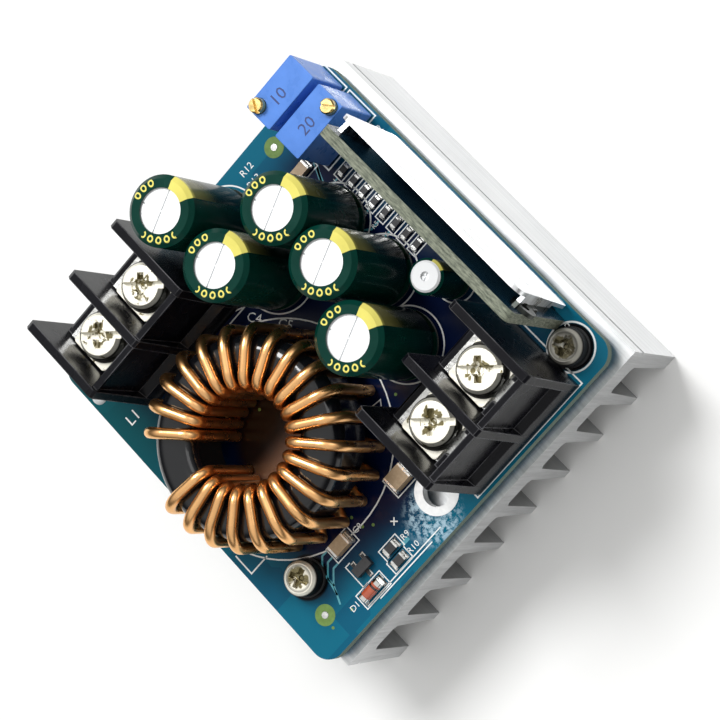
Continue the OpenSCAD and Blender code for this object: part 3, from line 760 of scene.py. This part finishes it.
class BUCK_OT_terminals(bpy.types.Operator):
    """Black mouldings, tinned contacts and nickel plated clamps of the terminal blocks"""
    bl_idname = "buck.terminals"
    bl_label = "Terminal block finish"

    def execute(self, context):
        black = colours().moulding
        s = Shader("terminal_moulding", black, 0.24)
        s.set(Specular_IOR_Level=0.15)
        grain = s.noise(1500, 4, 0.6)
        s.rough(s.middling(s.noise(160, 3), 0.18, 0.32))
        # painted highlight: the moulding's edges are lightened where they catch the light
        wear_and_edge_highlight = s.product(s.edges(0.0003), s.range(s.noise(240, 3), 0.3, 0.6))
        plastic = s.mix(grain, tint(black, 0.75), tint(black, 1.6))
        s.base(s.mix(wear_and_edge_highlight, plastic, (0.14, 0.14, 0.15)))
        s.bump(grain, 0.1, 0.00008, 0.00025)
        dress(("left_terminal_housing", "right_terminal_housing"), s)
        dress(("left_terminal_contacts", "right_terminal_contacts"), tin_finish("contact_tin"))
        for seed, side in enumerate(("left", "right")):
            for number in (1, 2):
                screw = "%s_clamp_screw_%d" % (side, number)
                lo, hi = node_box(screw)
                axes, radius = [(lo + hi) / 2], (hi.x - lo.x) / 2
                dress(screw, nickel_finish(screw + "_head", axes, 0.013 * seed + 0.007 * number,
                                           shaded_flank=radius - 0.00022))
                plate = nickel_finish("%s_clamp_plate_%d" % (side, number), axes, 0.01, shade_ring=radius)
                dress("%s_clamp_washer_%d" % (side, number), plate)
        return {"FINISHED"}


class BUCK_OT_capacitors(bpy.types.Operator):
    """Bright can tops, green sleeves with a polarity stripe, bungs and leads"""
    bl_idname = "buck.capacitors"
    bl_label = "Capacitor finish"

    def stripe(self, s, cloud, z, height, side):
        """Colour of the polarity stripe: full on the shrunk rim, dimmer on the side with painted shade that
        darkens further down the side.
        """
        gold = colours().stripe
        streak = s.noise(90, 3, 0.6, s.point(stretch=(1, 1, 0.25)))
        # painted shade: the stripe is dimmer on the side and goes over to dark green lower down
        thin = s.mix(streak, (0.035, 0.045, 0.012), (0.33, 0.30, 0.09))
        shaded_stripe = s.mix(s.range(z, height - 0.009, height - 0.0015, smooth=True), (0.004, 0.012, 0.006), thin)
        return s.mix(side, shaded_stripe, s.mix(s.middling(cloud, 0.0, 1.0), tint(gold, 0.85), gold))

    def noughts(self, s, angle, reach, radius):
        """1 on rings like noughts round the rim, in two groups."""
        across = s.math("DIVIDE", s.math("SUBTRACT", reach, radius * 0.80), 0.00052)
        cycle = s.math("FRACT", s.product(angle, 3.1))
        along = s.product(s.math("SUBTRACT", cycle, 0.5), 2.9)
        ink = s.near(s.hypotenuse(across, along), 0.78, 0.24)
        return s.product(ink, s.math("MAXIMUM", s.near(angle, -1.45, 0.5), s.near(angle, 2.42, 0.65)))

    def sleeve(self, name, can, marked):
        c = colours()
        mid = middle(can)
        lo, hi = node_box(name)
        radius, height = (hi.x - lo.x) / 2, hi.z - TOP
        s = Shader(name + "_finish", c.sleeve, 0.2)
        s.set(Specular_IOR_Level=0.12)
        x, y, z = s.axes(s.point(shift=(mid.x, mid.y, TOP)))
        reach = s.reach(mid)
        # angle round the can, 0 at +Y and growing towards +X
        angle = s.math("ARCTAN2", x, y)
        cloud = s.noise(260, 4)
        green = s.mix(cloud, tint(c.sleeve, 0.7), tint(c.sleeve, 1.35))
        side = s.range(z, height - 0.0016, height - 0.0006)
        base = s.mix(s.near(angle, 0.05, 0.42), green, self.stripe(s, cloud, z, height, side))
        if marked:
            base = s.mix(s.product(self.noughts(s, angle, reach, radius), side), base, c.stripe)
        else:
            # the sleeve stops short of the small can's top
            bare = s.product(side, s.math("LESS_THAN", reach, radius * 0.86))
            base = s.mix(bare, base, tint(c.aluminium, 1.1))
        s.base(base)
        s.rough(s.middling(cloud, 0.14, 0.28))
        s.bump(s.noise(420, 3), 0.12, 0.0002)
        dress(name, s)

    def execute(self, context):
        metal = colours().aluminium
        top = Shader("can_aluminium", tint(metal, 1.15), 0.5, 0.45)
        brushed = top.noise(500, 5, 0.7, top.point(stretch=(1, 12, 1), turn=(0, 0, 0.5)))
        top.rough(top.middling(brushed, 0.45, 0.6))
        top.base(top.mix(brushed, tint(metal, 0.98), tint(metal, 1.12)))
        top.bump(brushed, 0.1, 0.00005)
        for i in range(1, CAPACITORS + 1):
            dress("capacitor_can_%d" % i, top)
            self.sleeve("capacitor_sleeve_%d" % i, "capacitor_can_%d" % i, True)
        pale = Shader("small_can_aluminium", tint(metal, 1.15), 0.6, 0.2)
        pale.clouds(700, tint(metal, 1.1), tint(metal, 1.2), 3)
        pale.bump(pale.noise(1200, 3), 0.05, 0.00005)
        dress("small_capacitor_can", pale)
        self.sleeve("small_capacitor_sleeve", "small_capacitor_can", False)
        rubber = Shader("bung_rubber", (0.02, 0.02, 0.02), 0.7)
        rubber.bump(rubber.noise(1800, 3), 0.3, 0.0001)
        rubber.rough(rubber.middling(rubber.noise(900), 0.6, 0.85))
        dress(("capacitor_bungs", "small_capacitor_bung"), rubber)
        dress("capacitor_leads", tin_finish("lead_tin"))
        return {"FINISHED"}


class BUCK_OT_trimmers(bpy.types.Operator):
    """Blue trimmer mouldings, brass adjusters and pins"""
    bl_idname = "buck.trimmers"
    bl_label = "Trimmer finish"

    def execute(self, context):
        c = colours()
        s = Shader("trimmer_moulding", c.trimmer, 0.28)
        s.set(Specular_IOR_Level=0.3)
        cloud = s.noise(320, 4)
        s.base(s.mix(cloud, tint(c.trimmer, 0.8), tint(c.trimmer, 1.25)))
        s.rough(s.middling(cloud, 0.22, 0.4))
        s.bump(s.noise(1500, 3), 0.15, 0.00008, 0.0002)
        dress(("trimmer_body_1", "trimmer_body_2"), s)
        ink = Shader("trimmer_ink", (0.01, 0.03, 0.16), 0.5)
        ink.clouds(1800, (0.006, 0.02, 0.11), (0.02, 0.05, 0.22))
        ink.bump(ink.noise(2500, 3), 0.2, 0.00003)
        marks = Sheet()
        for number in (1, 2):
            q, size = footprint("trimmer_body_%d" % number)
            marks.words("%d0" % number, q.x + 0.3, q.y - 0.6, 2.6, 90, 0.012, q.z + size.z / 2 - 0.005)
        marks.piece("trimmer_marks", ink)
        brass = Shader("adjuster_brass", c.brass, 0.22, 1.0)
        turned = brass.noise(900, 4, 0.6, brass.point(stretch=(1, 1, 8)))
        brass.base(brass.mix(turned, tint(c.brass, 0.8), tint(c.brass, 1.15)))
        brass.rough(brass.middling(turned, 0.15, 0.35))
        brass.bump(turned, 0.25, 0.00006)
        dress(("trimmer_screw_1", "trimmer_screw_2"), brass)
        dress("trimmer_pins", tin_finish("pin_tin"))
        return {"FINISHED"}


class BUCK_OT_uprights(bpy.types.Operator):
    """Upright control board and its bright folded plate"""
    bl_idname = "buck.uprights"
    bl_label = "Upright board finish"

    def execute(self, context):
        c = colours()
        s = Shader("upright_laminate", c.laminate, 0.6)
        side = s.facing("Y", 0.6)
        fibre = s.noise(1500, 5, 0.65, s.point(stretch=(0.5, 2.5, 1)))
        edge = s.mix(s.range(fibre, 0.35, 0.7), (0.07, 0.085, 0.06), (0.30, 0.32, 0.24))
        lacquer = s.mix(s.noise(200), (0.003, 0.02, 0.04), (0.005, 0.035, 0.065))
        s.base(s.mix(side, edge, lacquer))
        s.rough(s.range(side, 0, 1, 0.7, 0.25))
        s.bump(fibre, 0.5, 0.00015)
        dress("control_board", s)
        plate = Shader("bright_plate", tint(c.aluminium, 1.1), 0.3, 1.0)
        streak = plate.noise(120, 5, 0.7, plate.point(stretch=(0.35, 1, 5), turn=(0, 0.25, 0)))
        bright = plate.mix(plate.range(streak, 0.35, 0.62), tint(c.aluminium, 0.8), tint(c.aluminium, 1.2))
        # painted shade darkens the lug at one end
        lo, hi = node_box("cover_plate")
        x, y, _ = plate.axes(plate.point(shift=(hi.x, lo.y, lo.z)))
        lug_shade = plate.product(plate.math("GREATER_THAN", x, -0.0041), plate.math("LESS_THAN", y, 0.0009))
        plate.base(plate.mix(lug_shade, bright, (0.05, 0.055, 0.05)))
        plate.rough(plate.middling(streak, 0.2, 0.4))
        plate.bump(streak, 0.08, 0.0001)
        dress("cover_plate", plate)
        return {"FINISHED"}


class BUCK_OT_chips(bpy.types.Operator):
    """Chip components, diode, eyelet, solder bead and the heat path under the board"""
    bl_idname = "buck.chips"
    bl_label = "Small part finishes"

    def glass(self):
        """Red glass with a dark band and tinned ends."""
        lo, hi = node_box("glass_diode")
        glass = Shader("diode_glass", (0.4, 0.07, 0.03), 0.12)
        glass.set(Coat_Weight=0.8, Coat_Roughness=0.04)
        along = glass.axes(glass.point(shift=(lo + hi) / 2))["Y"]
        along = glass.math("DIVIDE", along, (hi.y - lo.y) / 2)
        cap = glass.math("GREATER_THAN", glass.math("ABSOLUTE", along), 0.66)
        red = glass.mix(glass.noise(1500), (0.30, 0.04, 0.015), (0.55, 0.12, 0.05))
        body = glass.mix(glass.near(along, 0.38, 0.1), red, (0.02, 0.01, 0.01))
        glass.base(glass.mix(cap, body, colours().tin))
        glass.set(Metallic=cap)
        return glass.bump(glass.noise(2500, 3), 0.1, 0.00004)

    def execute(self, context):
        black = Shader("chip_epoxy", BLACK, 0.45)
        grain = black.noise(3000, 4)
        black.base(black.mix(grain, (0.012, 0.012, 0.014), (0.04, 0.04, 0.042)))
        black.bump(grain, 0.3, 0.00004)
        dress(("chip_resistors", "chip_transistor", "power_transistors"), black)
        tan = Shader("chip_ceramic", (0.42, 0.30, 0.18), 0.4)
        fleck = tan.noise(2200, 4)
        tan.base(tan.mix(fleck, (0.30, 0.20, 0.11), (0.52, 0.38, 0.24)))
        tan.rough(tan.middling(fleck, 0.3, 0.5))
        tan.bump(fleck, 0.2, 0.00004)
        dress("chip_capacitors", tan)
        dress("glass_diode", self.glass())
        eyelet = Shader("eyelet_tin", (0.85, 0.86, 0.86), 0.45, 0.4)
        eyelet.clouds(1400, (0.7, 0.72, 0.73), (0.95, 0.95, 0.95), 3)
        eyelet.bump(eyelet.noise(2200, 3), 0.2, 0.00006)
        dress(("hole_eyelet", "solder_bead"), eyelet)
        pad = Shader("pad_silicone", (0.38, 0.42, 0.44), 0.7)
        pad.clouds(1200, (0.33, 0.37, 0.39), (0.45, 0.49, 0.5))
        pad.bump(pad.noise(1800, 3), 0.3, 0.0001)
        dress("thermal_pad", pad)
        return {"FINISHED"}


class BUCK_OT_hardware(bpy.types.Operator):
    """Board screws, washers and spacers"""
    bl_idname = "buck.hardware"
    bl_label = "Board screw finish"

    def execute(self, context):
        axes = [(lo + hi) / 2 for lo, hi in islands("board_screws")]
        corner = max(axes, key=lambda p: p.x + p.y)
        dress("board_screws", nickel_finish("board_screw", axes, 0.03, rim=0.00236, shade=corner))
        dress("spring_washers", nickel_finish("board_washer", axes, 0.04, rim=0.0022, shade=corner))
        nylon = Shader("spacer_nylon", BLACK, 0.5)
        nylon.rough(nylon.middling(nylon.noise(900), 0.4, 0.6))
        nylon.bump(nylon.noise(1400, 3), 0.15, 0.00008)
        dress(("board_spacers", "flat_washers"), nylon)
        return {"FINISHED"}


# ---- studio --------------------------------------------------------------------------------------

AIM = (0.0, 0.0, 0.02)
CAMERA_PLACE = (0.11455, 0.09156, 0.33911)
CAMERA_AXES = ((0.652916, -0.686122, 0.320838), (0.637975, 0.726495, 0.255331),
               (-0.408275, 0.037977, 0.912069))
FADE = (0.25, 0.85)    # heights, as a share of straight up, between which the sky brightens


def area_light(name, place, size, power):
    """Rectangular lamp that points at the module."""
    light = bpy.data.lights.new(name, "AREA")
    light.shape = "RECTANGLE"
    light.size, light.size_y = size
    light.energy = power
    obj = bpy.data.objects.new(name, light)
    obj.location = place
    obj.rotation_euler = (Vector(AIM) - Vector(place)).to_track_quat("-Z", "Y").to_euler()
    bpy.context.collection.objects.link(obj)


class BUCK_OT_stage(bpy.types.Operator):
    """Pale floor, soft lights, surroundings and the camera"""
    bl_idname = "buck.stage"
    bl_label = "Studio"

    def surroundings(self, context):
        """Soft light from above that fades towards the horizon."""
        studio = context.scene.buck_studio
        world = bpy.data.worlds.new("surroundings")
        context.scene.world = world
        world.use_nodes = True
        nodes, links = world.node_tree.nodes, world.node_tree.links
        back = nodes["Background"]
        back.inputs["Color"].default_value = (1.0, 1.0, 0.985, 1.0)
        coord, split, fade = (nodes.new("ShaderNode" + kind)
                              for kind in ("TexCoord", "SeparateXYZ", "MapRange"))
        fade.interpolation_type = "SMOOTHSTEP"
        for key, value in (("From Min", FADE[0]), ("From Max", FADE[1]),
                           ("To Min", studio.horizon), ("To Max", studio.sky)):
            fade.inputs[key].default_value = value
        links.new(coord.outputs["Generated"], split.inputs[0])
        links.new(split.outputs["Z"], fade.inputs["Value"])
        links.new(fade.outputs[0], back.inputs["Strength"])

    def camera(self, context):
        camera = bpy.data.cameras.new("camera")
        camera.lens = context.scene.buck_studio.focal
        camera.sensor_width = 36.0
        camera.clip_start = 0.01
        camera.clip_end = 20.0
        holder = bpy.data.objects.new("camera", camera)
        holder.matrix_world = Matrix.Translation(CAMERA_PLACE) @ Matrix(CAMERA_AXES).to_4x4()
        context.collection.objects.link(holder)
        context.scene.camera = holder

    def execute(self, context):
        studio = context.scene.buck_studio
        mesh = bpy.data.meshes.new("floor")
        bm = bmesh.new()
        bmesh.ops.create_grid(bm, x_segments=1, y_segments=1, size=3.0)
        bm.to_mesh(mesh)
        bm.free()
        floor = bpy.data.objects.new("floor", mesh)
        floor.location.z = -0.00005
        context.collection.objects.link(floor)
        s = Shader("floor_paper", studio.floor, 0.9)
        s.clouds(30, tint(studio.floor, 0.985), studio.floor, 3)
        mesh.materials.append(s.material)
        area_light("key", (-0.44, 0.14, 0.78), (0.30, 0.30), studio.key)
        area_light("top", (0.12, 0.62, 0.72), (0.4, 0.3), studio.top)
        area_light("fill", (0.62, -0.45, 0.40), (0.5, 0.4), studio.fill)
        self.surroundings(context)
        self.camera(context)
        context.scene.view_settings.view_transform = "Standard"
        return {"FINISHED"}


OPERATORS = (BUCK_OT_board, BUCK_OT_silk, BUCK_OT_copper, BUCK_OT_heatsink, BUCK_OT_inductor,
             BUCK_OT_terminals, BUCK_OT_capacitors, BUCK_OT_trimmers, BUCK_OT_uprights, BUCK_OT_chips,
             BUCK_OT_hardware, BUCK_OT_stage)


class BUCK_PT_panel(bpy.types.Panel):
    """Lists the steps in the order they run"""
    bl_idname = "BUCK_PT_panel"
    bl_label = "Converter module"
    bl_space_type = "VIEW_3D"
    bl_region_type = "UI"
    bl_category = "Module"

    def draw(self, context):
        for operator in OPERATORS:
            self.layout.operator(operator.bl_idname)
        for group in (context.scene.buck_sizes, context.scene.buck_colours, context.scene.buck_studio):
            box = self.layout.box()
            for key in group.__annotations__:
                box.prop(group, key)


CLASSES = (BUCK_PG_sizes, BUCK_PG_colours, BUCK_PG_studio, *OPERATORS, BUCK_PT_panel)


def register():
    for cls in CLASSES:
        bpy.utils.register_class(cls)
    bpy.types.Scene.buck_sizes = PointerProperty(type=BUCK_PG_sizes)
    bpy.types.Scene.buck_colours = PointerProperty(type=BUCK_PG_colours)
    bpy.types.Scene.buck_studio = PointerProperty(type=BUCK_PG_studio)


def unregister():
    for key in ("buck_sizes", "buck_colours", "buck_studio"):
        delattr(bpy.types.Scene, key)
    for cls in reversed(CLASSES):
        bpy.utils.unregister_class(cls)


def main():
    register()
    for operator in OPERATORS:
        group, name = operator.bl_idname.split(".")
        getattr(getattr(bpy.ops, group), name)()


if __name__ == "__main__":
    main()
